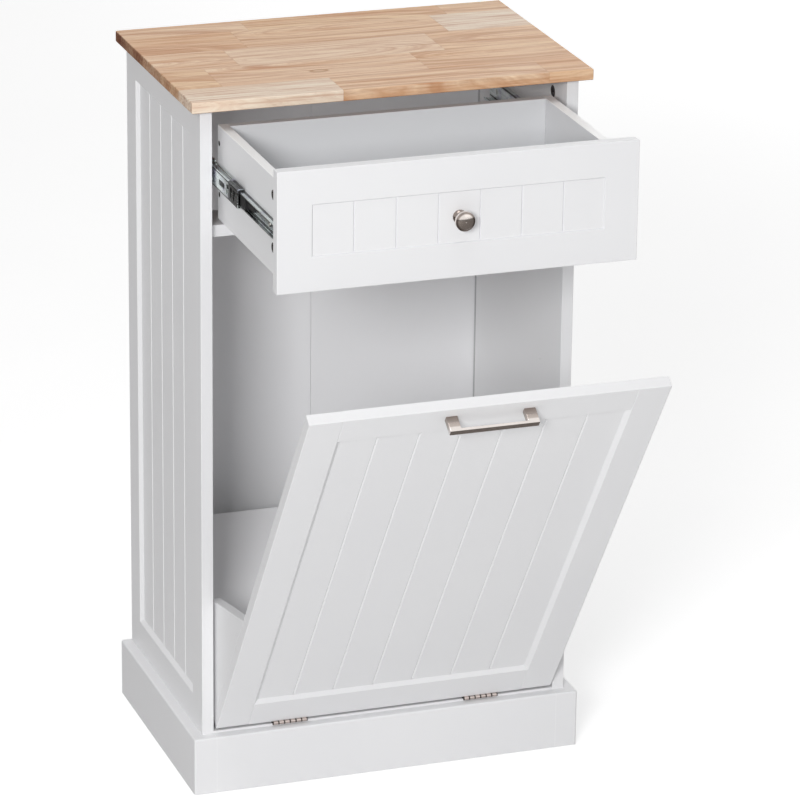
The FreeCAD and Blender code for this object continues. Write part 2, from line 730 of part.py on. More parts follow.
# Bow handle: two square feet and a flat bar with eased edges, tapped from behind for its screws.
handle_span = s.handle_centres + s.handle_foot
span, inside = "handle_centres + handle_foot", "handle_centres"
bow = extrusion("bow_handle", "XY_Plane", [
    ("0", "0"), (span, "0"), (span, "handle_reach"), (inside, "handle_reach"), (inside, "handle_bar"),
    ("handle_foot", "handle_bar"), ("handle_foot", "handle_reach"), ("0", "handle_reach")], "handle_height")
bow_edges = [i for i, edge in enumerate(bow.Tip.Shape.Edges, start=1)
             if edge.BoundBox.YMin < s.handle_reach - s.handle_round]
bow_round = bow.newObject("PartDesign::Fillet", "bow_round")
bow_round.Base = (bow.getObject("bow_handle_pad"), ["Edge%d" % i for i in bow_edges])
bow_round.setExpression("Radius", formula("handle_round"))
bow.Tip = bow_round
bow.Placement.Base = Vector(-handle_span / 2, FRONT - s.handle_reach, handle_up - s.handle_height / 2)


def machine_screw(x, z):
    """A pan-head screw from behind a front board into its knob or handle."""
    return screw(Vector(x, FRONT_BACK, z), REAR, s.machine_screw_radius, s.machine_head_radius, 0,
                 s.front_thickness + s.machine_bite, pan=s.machine_head)


handle_screws = [machine_screw(hand * s.handle_centres / 2, handle_up) for hand in (-1, 1)]
keep("door_handle", cut("bow_tapped", bow, [solid("handle_taps", handle_screws)]), DOOR)
keep("handle_screws", solid("handle_screw_set", handle_screws), DOOR)

# Bin tray: a floor board behind the door and a cheek at each side, cut down at 45 degrees.
tray = box("tray_board", front_width, tray_depth, "tray_thickness", (door_left, FRONT_BACK, TRAY_BOTTOM))
keep("tray_base", cut("tray_cut", tray, [tray_holes]), DOOR)
cheek = extrusion("cheek_board", "XY_Plane", [
    ("0", "0"), ("cheek_depth", "0"), ("cheek_depth", "cheek_rear_height"), ("0", "cheek_front_height")],
    "cheek_thickness")
cheek.Placement = Placement(Vector(door_left, FRONT_BACK, TRAY_TOP), Rotation(REAR, UP, RIGHT, "XYZ"))
keep_pair("tray_cheek", cut("cheek_cut", cheek, [tray_holes]), DOOR)
keep("tray_dowels", solid("tray_dowel_set", dowels(tray_dowel_spots)), DOOR)

# Drawer front: a shallow recess with fine grooves; the box's bottom bites into its back.
front = milled_board("drawer_front_board", front_width, "drawer_front_height", "front_thickness",
                     ("drawer_margin", "drawer_margin", "drawer_margin"), "drawer_recess", "drawer_bevel",
                     ("drawer_groove_width", "drawer_groove_depth"), "front_boards")
front.Placement = Placement(Vector(-door_left, FRONT, DRAWER_BOTTOM), Rotation(RIGHT * -1, UP, REAR, "XYZ"))
bottom_low = BOX_BOTTOM + s.bottom_rise
bottom_half = BOX_HALF - s.box_thickness + s.bottom_bite
bottom_groove = box("bottom_groove", bottom_width + " + 2 * play", bottom_depth + " + 2 * play",
                    "bottom_thickness + play",
                    (-bottom_half - s.play, FRONT_BACK - s.bottom_bite - s.play, bottom_low))
knob_up = DRAWER_BOTTOM + s.drawer_front_height / 2
front_holes = joint_holes(drawer_joints)
front_holes.append(through_hole(0, knob_up))
keep("drawer_front", cut("drawer_front_cut", front, [bottom_groove, solid("front_holes", front_holes)]),
     DRAWER)

# Drawer box.
back_screws = [screw(Vector(-BOX_HALF, BOX_REAR - s.box_thickness / 2, z), RIGHT * -1, s.back_screw_radius,
                     s.screw_head_radius, s.back_screw_head, s.back_screw_length) for z in box_rows]

box_side = box("box_side", "box_thickness", "box_depth", "box_height", (-BOX_HALF, FRONT_BACK, BOX_BOTTOM))
inner_screws = [sheet_screw(place, RIGHT * -1, s.pan_head) for place in inner_spots]
box_holes = joint_holes(drawer_joints[:2]) + back_screws + inner_screws
side_tools = [bottom_groove, solid("box_side_holes", box_holes)]
keep_pair("drawer_side", cut("box_side_cut", box_side, side_tools), DRAWER)
box_back = box("box_back", "carcase_width - 2 * side_thickness - 2 * slide_width - 2 * box_thickness",
               "box_thickness", "box_height",
               (-BOX_HALF + s.box_thickness, BOX_REAR - s.box_thickness, BOX_BOTTOM))
back_screw_set = solid("back_screw_set", both_hands(back_screws))
keep("drawer_back", cut("box_back_cut", box_back, [bottom_groove, back_screw_set]), DRAWER)
keep("drawer_bottom", box("box_bottom", bottom_width, bottom_depth, "bottom_thickness",
                          (-bottom_half, FRONT_BACK - s.bottom_bite, bottom_low)), DRAWER)
keep("drawer_cams", solid("drawer_cam_set", [joint.cam() for joint in drawer_joints]), DRAWER)
keep("drawer_cam_bolts", solid("drawer_bolt_set", [joint.bolt() for joint in drawer_joints]), DRAWER)
keep("drawer_back_screws", solid("back_screws", both_hands(back_screws)), DRAWER)

# Knob: a round base, a waisted neck and a domed head, tapped for one screw.
head_low = s.knob_reach - s.knob_head
dome_low = s.knob_reach - s.knob_dome
dome_radius = (s.knob_head_radius ** 2 + s.knob_dome ** 2) / (2 * s.knob_dome)
half_dome = math.asin(s.knob_head_radius / dome_radius) / 2
base_edge = Vector(s.knob_base_radius, 0, s.knob_base)
head_underside = Vector(s.knob_under_radius, 0, head_low)
waist = Vector(s.knob_neck_radius, 0, (s.knob_base + head_low) / 2)
dome_edge = Vector(s.knob_head_radius, 0, dome_low)
crown = Vector(0, 0, s.knob_reach)
shoulder = Vector(dome_radius * math.sin(half_dome), 0,
                  s.knob_reach - dome_radius * (1 - math.cos(half_dome)))
knob_profile = [
    Part.makePolygon([crown, Vector(), Vector(s.knob_base_radius, 0, 0), base_edge]),
    Part.Arc(base_edge, waist, head_underside).toShape(),
    Part.makePolygon([head_underside, Vector(s.knob_head_radius, 0, head_low + s.knob_under), dome_edge]),
    Part.Arc(dome_edge, shoulder, crown).toShape(),
]
knob_edges = [edge for run in knob_profile for edge in run.Edges]
knob = Part.Face(Part.Wire(knob_edges)).revolve(Vector(), UP, 360)
knob.Placement = Placement(Vector(0, FRONT + s.drawer_recess, knob_up), Rotation(UP, REAR * -1))
knob_screw = machine_screw(0, knob_up)
keep("drawer_knob", solid("knob", [knob.cut(knob_screw)]), DRAWER)
keep("knob_screw", solid("knob_screw_shape", [knob_screw]), DRAWER)


# Ball-bearing slides, left hand. A channel's section is drawn from its web: out along X, up along Y.
def channel(name, height, flange, place, turn, lip="0"):
    """A folded sheet-metal channel as long as the slide, with lips on the flanges where given."""
    wall = "sheet_thickness"
    section = [("0", "0"), (flange, "0")]
    if lip != "0":
        section += [(flange, wall + " + " + lip), (flange + " - " + wall, wall + " + " + lip),
                    (flange + " - " + wall, wall)]
    else:
        section += [(flange, wall)]
    section += [(wall, wall), (wall, "%s - %s" % (height, wall))]
    if lip != "0":
        section += [("%s - %s" % (flange, wall), "%s - %s" % (height, wall)),
                    ("%s - %s" % (flange, wall), "%s - %s - %s" % (height, wall, lip)),
                    (flange, "%s - %s - %s" % (height, wall, lip))]
    else:
        section += [(flange, "%s - %s" % (height, wall))]
    section += [(flange, height), ("0", height)]
    stock = extrusion(name, "XZ_Plane", section, slide_length, reverse=True)
    stock.Placement = Placement(place, turn)
    return stock


def slots(x, shares):
    """Round-ended slots through a web at x, their places given as shares of the slide's length."""
    made = []
    for share in shares:
        y = SLIDE_FRONT + share * s.box_depth
        end_places = [Vector(x, y + step * s.slot_length / 2, SLIDE_MIDDLE) for step in (-1, 1)]
        ends = [rod(s.slot_width / 2, 2 * s.sheet_thickness, place, RIGHT) for place in end_places]
        middle = Part.makeBox(2 * s.sheet_thickness, s.slot_length, s.slot_width,
                              Vector(x, y - s.slot_length / 2, SLIDE_MIDDLE - s.slot_width / 2))
        made.append(middle.fuse(ends))
    return made


outer = channel("outer_channel", "outer_height", "outer_flange",
                Vector(-INNER, SLIDE_FRONT, SLIDE_MIDDLE - s.outer_height / 2), Rotation(), "outer_lip")
outer_screws = [sheet_screw(place, RIGHT) for place in outer_spots]
outer_slots = slots(-INNER - s.sheet_thickness / 2, OUTER_SLOT_SHARES)
keep_pair("slide_outer", cut("outer_cut", outer, [solid("outer_holes", outer_screws + outer_slots)]))
middle_x = -INNER + s.middle_offset
middle = channel("middle_channel", "middle_height", "middle_flange",
                 Vector(middle_x, SLIDE_FRONT, SLIDE_MIDDLE - s.middle_height / 2), Rotation())
middle_slots = slots(middle_x - s.sheet_thickness / 2, MIDDLE_SLOT_SHARES)
middle_slots += [Part.makeBox(2 * s.sheet_thickness, s.catch_slot_width, s.catch_slot_height,
                              Vector(middle_x - s.sheet_thickness / 2, SLIDE_FRONT + share * s.box_depth,
                                     SLIDE_MIDDLE - s.catch_slot_height / 2))
                 for share in CATCH_SLOT_SHARES]
keep_pair("slide_middle", cut("middle_cut", middle, [solid("middle_slots", middle_slots)]), MIDDLE)
inner = channel("inner_channel", "inner_height", "inner_flange",
                Vector(-BOX_HALF, SLIDE_FRONT, SLIDE_MIDDLE + s.inner_height / 2), Rotation(REAR, 180))
keep_pair("slide_inner", cut("inner_cut", inner, [solid("inner_holes", inner_screws)]), DRAWER)

# The plastic latch in the inner channel, just ahead of the middle one when the drawer is out: a
# block with an arm that is pushed to lift the drawer off.
latch_front = SLIDE_FRONT + s.travel - s.middle_travel - s.latch_gap - s.latch_length
latch_base = -BOX_HALF - s.sheet_thickness
block_half = s.inner_height / 2 - s.sheet_thickness - s.latch_play
latch = Part.makeBox(s.latch_depth, s.latch_block, 2 * block_half,
                     Vector(latch_base - s.latch_depth, latch_front + s.latch_length - s.latch_block,
                            SLIDE_MIDDLE - block_half))
latch = latch.fuse(Part.makeBox(s.latch_arm_depth, s.latch_length, s.latch_arm,
                                Vector(latch_base - s.latch_arm_depth, latch_front,
                                       SLIDE_MIDDLE - s.latch_arm / 2)))
keep_pair("slide_latch", solid("latch_shape", [latch]), DRAWER)
keep("slide_outer_screws", solid("outer_screw_set", both_hands(outer_screws)))
keep("slide_inner_screws", solid("inner_screw_set", both_hands(inner_screws)), DRAWER)

# Ball cages. Each is a thin trough between two channels; its two arms carry the balls. The inner
# cage starts with a solid end, the bumper that shows at the front when the drawer is out.
def cage(back, arms, reach, ball_x, start, length, bumper=0.0):
    """A cage and its balls; arms holds how far from the middle line the arms start and end."""
    arm_from, arm_to = arms
    y = SLIDE_FRONT + start
    shape = Part.makeBox(s.cage_thickness, length, 2 * arm_to, Vector(back, y, SLIDE_MIDDLE - arm_to))
    for low in (arm_from, -arm_to):
        shape = shape.fuse(Part.makeBox(reach, length, arm_to - arm_from,
                                        Vector(back, y, SLIDE_MIDDLE + low)))
    pitch = (length - bumper) / (s.ball_count + 1)
    places = [Vector(ball_x, y + bumper + (i + 1) * pitch, SLIDE_MIDDLE + side * (arm_from + arm_to) / 2)
              for i in range(int(s.ball_count)) for side in (-1, 1)]
    arm = arm_to - arm_from
    pockets = [rod(s.ball_radius, arm, place - UP * (arm / 2), UP) for place in places]
    return shape.removeSplitter().cut(pockets), [Part.makeSphere(s.ball_radius, place) for place in places]


outer_back = middle_x - s.cage_thickness
outer_reach = s.outer_flange - s.sheet_thickness - s.cage_gap - (outer_back + INNER)
outer_arms = (s.middle_height / 2 + s.cage_gap, s.outer_height / 2 - s.sheet_thickness - s.cage_gap)
outer_ball_x = middle_x + s.ball_radius + s.cage_gap
outer_cage, outer_balls = cage(outer_back, outer_arms, outer_reach, outer_ball_x, s.outer_cage_start,
                               s.outer_cage_length)
inner_back = middle_x + s.sheet_thickness
inner_reach = s.middle_flange - s.sheet_thickness
inner_arms = (s.inner_height / 2 + s.cage_gap, s.middle_height / 2 - s.sheet_thickness - s.cage_gap)
inner_cage, inner_balls = cage(inner_back, inner_arms, inner_reach, inner_back + inner_reach / 2, 0,
                               s.inner_cage_length, s.bumper_length)
keep_pair("slide_outer_cage", solid("outer_cage_shape", [outer_cage]), MIDDLE)
keep_pair("slide_inner_cage", solid("inner_cage_shape", [inner_cage]), MIDDLE)
keep_pair("slide_balls", solid("ball_set", outer_balls + inner_balls), MIDDLE)

sheet.clear("D1")
document.recompute()
failed = [item.Name for item in document.Objects if "Invalid" in item.State or "Error" in item.State]
failed += [name for name, piece in pieces.items() if piece.Shape.isNull() or not piece.Shape.isValid()]
if failed:
    raise ValueError("failed: " + ", ".join(failed))

os.makedirs("parts", exist_ok=True)
for name, piece in pieces.items():
    piece.Shape.exportStep("parts/%s.step" % name)
    print(name, len(piece.Shape.Solids), round(piece.Shape.Volume / 1000, 2))
print(len(pieces), "pieces")
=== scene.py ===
import json
import math

import bmesh
import bpy
from mathutils import Matrix, Vector


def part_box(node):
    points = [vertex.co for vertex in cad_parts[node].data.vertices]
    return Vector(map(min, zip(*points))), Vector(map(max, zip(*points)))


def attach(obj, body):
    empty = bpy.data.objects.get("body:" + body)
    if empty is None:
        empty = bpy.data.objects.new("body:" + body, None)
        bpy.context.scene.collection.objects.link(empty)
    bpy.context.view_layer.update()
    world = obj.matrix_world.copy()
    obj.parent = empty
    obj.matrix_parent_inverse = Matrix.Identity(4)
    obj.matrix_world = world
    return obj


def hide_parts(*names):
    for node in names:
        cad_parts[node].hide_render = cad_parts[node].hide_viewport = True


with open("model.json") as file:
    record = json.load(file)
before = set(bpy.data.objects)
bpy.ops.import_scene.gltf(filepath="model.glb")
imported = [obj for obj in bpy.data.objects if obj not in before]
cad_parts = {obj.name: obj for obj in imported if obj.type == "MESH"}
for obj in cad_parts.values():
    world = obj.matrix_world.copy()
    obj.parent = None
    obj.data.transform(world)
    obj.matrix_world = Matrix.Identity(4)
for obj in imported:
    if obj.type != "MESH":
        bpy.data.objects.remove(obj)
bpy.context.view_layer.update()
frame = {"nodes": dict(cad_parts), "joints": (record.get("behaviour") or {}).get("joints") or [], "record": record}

# Lengths are in metres. The cabinet stands as it is photographed: the drawer pulled out and the door
# tilted open. Boards are worked on in their closed place, where they are square to the axes, and put
# back afterwards.
joints = {joint["name"]: joint for joint in frame["joints"]}
HINGE = Vector(joints["door_tilt"]["pos_m"])
TILT = math.radians(joints["door_tilt"]["range_deg"][1])
TRAVEL = joints["drawer_slide"]["range_m"][1]
OPEN = {
    "cabinet": Matrix.Identity(4),
    "drawer": Matrix.Translation((0, -TRAVEL, 0)),
    "door": Matrix.Translation(HINGE) @ Matrix.Rotation(TILT, 4, "X") @ Matrix.Translation(-HINGE),
}
bodies = frame["record"]["behaviour"]["bodies"]
BODY_OF = {node: body for body, nodes in bodies.items() for node in nodes}
SLOT_OF = {part["node"]: part["material_slot"] for part in frame["record"]["subparts"]}

# EASE rounds the boards' edges, RAIL_END chamfers the door rails' ends, and the side panels' grooves
# stay open for GROOVE_GAP in front of the back.
EASE = 0.0008
EASE_STEPS = 3
RAIL_END = 0.0011
GROOVE_GAP = 0.0024
GROOVE_DEPTH = 0.004
# Faces that differ by less than FLAT count as one, a point this near to a face lies on it, and points
# this near to each other are merged.
FLAT = math.radians(0.5)
ON_FACE = 2e-5
MERGED = 1e-6
# Where a finish ends at a face, it reaches this far past it.
SKIN = 0.0002

INNER_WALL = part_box("side_panel_right")[0].x
# The door's front, closed, on which its handle stands.
HANDLE_SEAT = -0.32
# The slides' middle line and, roughly, half their height.
SLIDE_LEVEL = sum(corner.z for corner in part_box("slide_middle_left")) / 2
HALF_SLIDE = 0.016


def srgb(red, green, blue):
    """A colour given from 0 to 255, as the shaders take it."""
    def linear(part):
        part /= 255
        return part / 12.92 if part <= 0.04045 else ((part + 0.055) / 1.055) ** 2.4

    return (linear(red), linear(green), linear(blue), 1)


def grey(level):
    """A share from 0 to 1, given as a colour."""
    return (level, level, level, 1)


WHITE = grey(1)


# Finishes


class Wire:
    """A shader socket. Arithmetic on it adds Math nodes."""

    def __init__(self, graph, socket):
        self.graph = graph
        self.socket = socket

    def __add__(self, other):
        return self.graph.maths("ADD", self, other)

    def __sub__(self, other):
        return self.graph.maths("SUBTRACT", self, other)

    def __rsub__(self, other):
        return self.graph.maths("SUBTRACT", other, self)

    def __mul__(self, other):
        return self.graph.maths("MULTIPLY", self, other)

    def __truediv__(self, other):
        return self.graph.maths("DIVIDE", self, other)

    def __pow__(self, other):
        return self.graph.maths("POWER", self, other)

    def __gt__(self, other):
        return self.graph.maths("GREATER_THAN", self, other)

    def __lt__(self, other):
        return self.graph.maths("LESS_THAN", self, other)

    def __abs__(self):
        return self.graph.maths("ABSOLUTE", self)

    __radd__ = __add__
    __rmul__ = __mul__

    def floor(self):
        return self.graph.maths("FLOOR", self)

    def fraction(self):
        return self.graph.maths("FRACT", self)


class Graph:
    """The nodes of a material or of the world."""

    def __init__(self, tree):
        self.tree = tree

    def node(self, kind, settings=None, inputs=None, output=0):
        """A new node, given as the Wire of one of its outputs."""
        made = self.tree.nodes.new("ShaderNode" + kind)
        for name, value in (settings or {}).items():
            setattr(made, name, value)
        for name, value in (inputs or {}).items():
            self.join(value, made.inputs[name])
        return Wire(self, made.outputs[output])

    def join(self, value, socket):
        """Link a Wire to a socket, or set the socket to a constant."""
        if isinstance(value, Wire):
            self.tree.links.new(value.socket, socket)
        else:
            socket.default_value = value

    def maths(self, operation, first, second=0.0):
        return self.node("Math", {"operation": operation}, {0: first, 1: second})


class Finish(Graph):
    """A material. What varies over it is joined to the shader; what is even all over is set on it."""

    def __init__(self, name, **even):
        self.name = name
        self.material = bpy.data.materials.new(name)
        self.material.use_nodes = True
        super().__init__(self.material.node_tree)
        self.shader = self.tree.nodes["Principled BSDF"]
        self.place = self.node("TexCoord", output="Object")
        self.paint(**even)

    def paint(self, **looks):
        """Join or set inputs of the shader, which are named as its own, in small letters."""
        for name, value in looks.items():
            own_name = name.replace("_", " ").title().replace("Ior", "IOR")
            self.join(value, self.shader.inputs[own_name])
        return self

    def bump(self, height, depth):
        """Relief, with depth in metres."""
        inputs = {"Height": height, "Distance": depth, "Strength": 1.0}
        return self.paint(normal=self.node("Bump", inputs=inputs))

    def split(self, vector):
        """The three numbers of a vector."""
        outputs = self.node("SeparateXYZ", inputs={0: vector}).socket.node.outputs
        return [Wire(self, socket) for socket in outputs]

    def vector(self, x, y, z):
        return self.node("CombineXYZ", inputs={0: x, 1: y, 2: z})

    def noise(self, scale, detail, vector=None):
        """Soft noise from 0 to 1; scale is in features per metre."""
        inputs = {"Vector": vector or self.place, "Scale": scale, "Detail": detail}
        return self.node("TexNoise", inputs=inputs)

    def stretched_noise(self, scales, detail):
        """Soft noise with a scale for each axis."""
        inputs = {0: self.place, 1: scales}
        return self.noise(1, detail, self.node("VectorMath", {"operation": "MULTIPLY"}, inputs))

    def grain(self, x, y, z, detail):
        """Soft noise over three numbers of their own."""
        return self.noise(1, detail, self.vector(x, y, z))

    def scatter(self, x, y):
        """A random number for each pair of whole numbers."""
        inputs = {"Vector": self.vector(x, y, 0)}
        return self.node("TexWhiteNoise", {"noise_dimensions": "2D"}, inputs, "Value")

    def blend(self, share, first, second):
        """Two colours mixed, by the second one's share."""
        return self.node("Mix", {"data_type": "RGBA"}, {0: share, 6: first, 7: second}, 2)

    def layered(self, colour, *layers):
        """A colour with others laid over it in turn, each given as its share and itself."""
        for share, layer in layers:
            colour = self.blend(share, colour, layer)
        return colour

    def ramp(self, value, stops):
        """A colour that runs through stops, each given as its place from 0 to 1 and its colour."""
        ramp = self.node("ValToRGB", inputs={"Fac": value})
        elements = ramp.socket.node.color_ramp.elements
        while len(elements) < len(stops):
            elements.new(1)
        for element, (place, colour) in zip(elements, stops):
            element.position = place
            element.color = colour
        return ramp

    def rise(self, value, start, end, top=1.0):
        """A share that rises from 0 at start to top at end."""
        return self.ramp(value, [(start, grey(0)), (end, grey(top))])

    def stripe(self, value, start, full, fading, end):
        """A share that is 1 from full to fading, and 0 up to start and from end on."""
        return self.ramp(value, [(start, grey(0)), (full, grey(1)), (fading, grey(1)), (end, grey(0))])


def within(*limits):
    """1 where every value lies between its limits, else 0; each is given as value, least, most."""
    share = 1.0
    for value, least, most in limits:
        share = (value > least) * (value < most) * share
    return share


# The painted shade inside the drawer reaches this far below its boards.
DRAWER_SHADE_BELOW = 0.003
# The drawer front's recess: how far in from the front's sides and from its top and bottom it begins,
# and how deep behind the face its slopes and its fine grooves lie, from and to.
RECESS_FROM_SIDES = 0.023
RECESS_FROM_TOP = 0.03
RECESS_SLOPES = (0.0002, 0.0011)
RECESS_GROOVES = (0.00145, 0.0026)


def painted_board():
    """White satin paint, sprayed over smooth board: fine orange peel and little drift in colour."""
    paint = Finish("white_paint", ior=1.45)
    x, y, z = paint.split(paint.place)
    sprayed = paint.blend(paint.noise(5, 3), srgb(236, 236, 238), srgb(241, 241, 242))
    painted_light_inside_carcase = within((abs(x), INNER_WALL - SKIN, INNER_WALL + SKIN))
    low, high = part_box("drawer_side_right")
    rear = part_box("drawer_back")[0].y
    painted_shade_inside_drawer = within((x, -low.x - SKIN, low.x + SKIN), (y, low.y - SKIN, rear + SKIN),
                           (z, low.z - DRAWER_SHADE_BELOW, high.z - SKIN))
    # Painted light on the top edges of the drawer's sides.
    painted_light_on_top_edges = within((abs(x), low.x - SKIN, high.x + SKIN), (y, low.y - SKIN, high.y + SKIN),
                       (z, high.z - 2 * SKIN, high.z + 2 * SKIN))
    low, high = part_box("drawer_front")
    recess = ((x, low.x + RECESS_FROM_SIDES, high.x - RECESS_FROM_SIDES),
              (z, low.z + RECESS_FROM_TOP, high.z - RECESS_FROM_TOP))
    shaded_slopes, shaded_grooves = [within((y, low.y + least, low.y + most), *recess)
                       for least, most in (RECESS_SLOPES, RECESS_GROOVES)]
    shade = paint.layered(
        sprayed,
        # Painted light: the sides of the carcase are a little brighter inside.
        (painted_light_inside_carcase, srgb(250, 250, 251)),
        # Painted shade greys the drawer's inside, and painted light brightens its sides' top edges.
        (painted_shade_inside_drawer, srgb(222, 223, 225)),
        (painted_light_on_top_edges, srgb(253, 253, 253)),
        # Painted shade darkens the slopes and the fine grooves of the drawer front.
        (shaded_slopes, srgb(224, 224, 227)),
        (shaded_grooves, srgb(229, 229, 232)),
    )
    paint.paint(base_color=shade, roughness=0.36 + 0.1 * paint.noise(14, 3))
    return paint.bump(paint.noise(900, 2) * 0.6 + paint.noise(260, 2), 0.00004)


# How far out of the side panels' grooves painted shade lies on the back.
CORNER_SHADE_WIDTH = 0.0012


def raw_backing():
    """The white foil of thin backing board, a little smoother and cooler than the paint."""
    foil = Finish("white_foil", ior=1.45)
    fibre = foil.stretched_noise((900, 900, 60), 3)
    shade = foil.blend(foil.noise(4, 3), srgb(246, 246, 248), srgb(251, 251, 252))
    # Painted shade darkens the board where it goes into the sides' grooves.
    in_corner = abs(foil.split(foil.place)[0]) > INNER_WALL - CORNER_SHADE_WIDTH
    foil.paint(base_color=foil.blend(in_corner * 0.4, shade, srgb(104, 104, 106)),
               roughness=0.42 + 0.08 * fibre)
    return foil.bump(fibre, 0.00002)


# The worktop's staves lie in rows, counted from FIRST_ROW towards the rear. Each row has one of its
# joints at its place in ROW_JOINTS, from the middle. PALE_STAVES gives the row and the number, counted
# from that joint, of the staves that are cut from paler wood. SEAM is half a glue line's width.
STAVE_WIDTH = 0.0775
STAVE_LENGTH = 0.263
FIRST_ROW = -0.3555
ROW_JOINTS = (-0.066, -0.2, -0.153, -0.12, -0.095)
PALE_STAVES = ((0, -1), (2, 0), (3, 1))
SEAM = 0.00039
KNOT = (-0.068, -0.245)
KNOT_SIZE = (0.009, 0.0045)


def jointed_wood():
    """Lacquered staves of light hardwood, joined end to end along the worktop's width."""
    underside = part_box("worktop")[0].z
    wood = Finish("natural_wood", ior=1.48, specular_ior_level=0.35)
    x, y, z = wood.split(wood.place)
    rows = (y - FIRST_ROW) / STAVE_WIDTH
    row = rows.floor()
    across = rows.fraction() - 0.5
    joint = ROW_JOINTS[0]
    for number in range(1, len(ROW_JOINTS)):
        joint = (row > number - 0.5) * (ROW_JOINTS[number] - ROW_JOINTS[number - 1]) + joint
    staves = (x - joint) / STAVE_LENGTH
    stave = staves.floor()
    along = staves.fraction() - 0.5
    pale = 0.0
    for pale_row, pale_stave in PALE_STAVES:
        pale = (abs(row - pale_row) + abs(stave - pale_stave) < 0.5) + pale
    # A whole number added to the row gives each stave another random number.
    tone = wood.scatter(row, stave) * 0.5 + pale * 0.6
    rosy = wood.scatter(row + 31, stave)
    lean = wood.scatter(row + 57, stave) - 0.5
    seed = wood.scatter(row + 83, stave) * 40

    # One small knot, which the grain flows round.
    knot_x = (x - KNOT[0]) / KNOT_SIZE[0]
    knot_y = (y - KNOT[1]) / KNOT_SIZE[1]
    knot = wood.maths("EXPONENT", (knot_x * knot_x + knot_y * knot_y) * -0.5)
    # Growth rings, cut as pointed arches: the heart of the tree lies askew under each stave, and
    # blunt_tip rounds the arches off.
    sway = (wood.grain(x * 6 + seed, y * 26, z * 40 + seed, 3) - 0.5) * 0.016
    pushed_by_knot = knot * 0.008
    offset = (across + lean * 1.5) * STAVE_WIDTH + sway + pushed_by_knot
    depth = (along + lean) * 0.045 + (z - underside) * 0.3
    blunt_tip = 0.002
    radius = (offset * offset + depth * depth + blunt_tip ** 2) ** 0.5
    broad_rings = wood.grain(radius * 120 + seed, x * 2, seed, 3)
    fine_rings = wood.grain(radius * 520 + seed, x * 4, seed, 3)
    # Long streaks, from broad soft bands to single fibres.
    band = wood.grain(x * 3.2 + seed, y * 55 + seed, z * 70, 2)
    streak = wood.grain(x * 9 + seed, y * 260, z * 260, 3)
    fibre = wood.grain(x * 40 + seed, y * 1100, z * 1100, 2)
    pores = wood.grain(x * 130 + seed, y * 1700, z * 1700, 1)
    flame = wood.grain(x * 16, seed, z * 180, 3)

    # The cut ends soak up more lacquer and are darker, most of all towards the rear.
    facing = wood.split(wood.node("NewGeometry", output="Normal"))
    cut_end = facing[0] * facing[0]
    soaked = 0.22 + 0.17 * row + 0.45 * (fibre + broad_rings + streak - 1.5)
    # The front edge shows more contrast between pale and brown staves.
    front_edge = facing[1] < -0.5
    underneath = facing[2] < -0.5
    # Thin glue lines between staves and at the joints.
    side_line = abs(across) > 0.5 - SEAM / STAVE_WIDTH
    end_line = (abs(along) > 0.5 - SEAM / STAVE_LENGTH) * (1 - cut_end)
    seam = wood.maths("MAXIMUM", side_line, end_line)

    shade = wood.layered(
        wood.ramp(tone, [(0.0, srgb(238, 202, 162)), (0.3, srgb(246, 215, 178)),
                         (0.6, srgb(252, 229, 198)), (1.0, srgb(255, 246, 230))]),
        (rosy * 0.35, srgb(238, 200, 176)),
        (wood.rise(band, 0.46, 0.68) * 0.55 * (1 - pale * 0.6), srgb(220, 168, 122)),
        (wood.rise(broad_rings, 0.48, 0.64) * (0.16 + 0.8 * streak) * (1 - pale * 0.7),
         srgb(190, 130, 90)),
        ((fine_rings - 0.42) * 1.7, srgb(200, 142, 100)),
        ((streak - 0.5) * 3.7, srgb(196, 134, 90)),
        ((pores > 0.66) * 0.3 + (fibre - 0.55) * 0.9, srgb(164, 106, 68)),
        (wood.ramp(knot, [(0.25, grey(0)), (0.5, grey(0.75)), (0.8, grey(0.35))]), srgb(172, 116, 66)),
        (cut_end * soaked, srgb(98, 46, 18)),
        ((flame - 0.5) * 2.4 * front_edge * (1 - pale), srgb(170, 108, 66)),
        (front_edge * pale * 0.2, srgb(255, 244, 226)),
        # Painted shade darkens the underside, which hangs over the drawer.
        (underneath * 0.85, srgb(134, 84, 52)),
        (seam * 0.2, srgb(150, 100, 64)),
    )
    wood.paint(base_color=shade, roughness=0.4 + 0.2 * fibre)
    return wood.bump(fibre * 0.5 - seam - pores * 0.3, 0.00005)


def plain_beech():
    """Raw beech rod with short dark flecks."""
    wood = Finish("beech_dowel", roughness=0.6)
    fleck = wood.stretched_noise((700, 160, 700), 2)
    shade = wood.ramp(fleck, [(0.4, srgb(214, 182, 142)), (0.7, srgb(168, 124, 84))])
    return wood.paint(base_color=shade)


def plain_metal(name, bright, dark, roughness, grains, depth):
    """A metal with clouds of a darker tone and a fine even grain; grains is its number per metre."""
    metal = Finish(name, metallic=1.0)
    grain = metal.noise(grains, 3)
    metal.paint(base_color=metal.blend(metal.noise(70, 3) * 0.6, bright, dark),
                roughness=roughness + 0.12 * grain)
    return metal.bump(grain, depth)


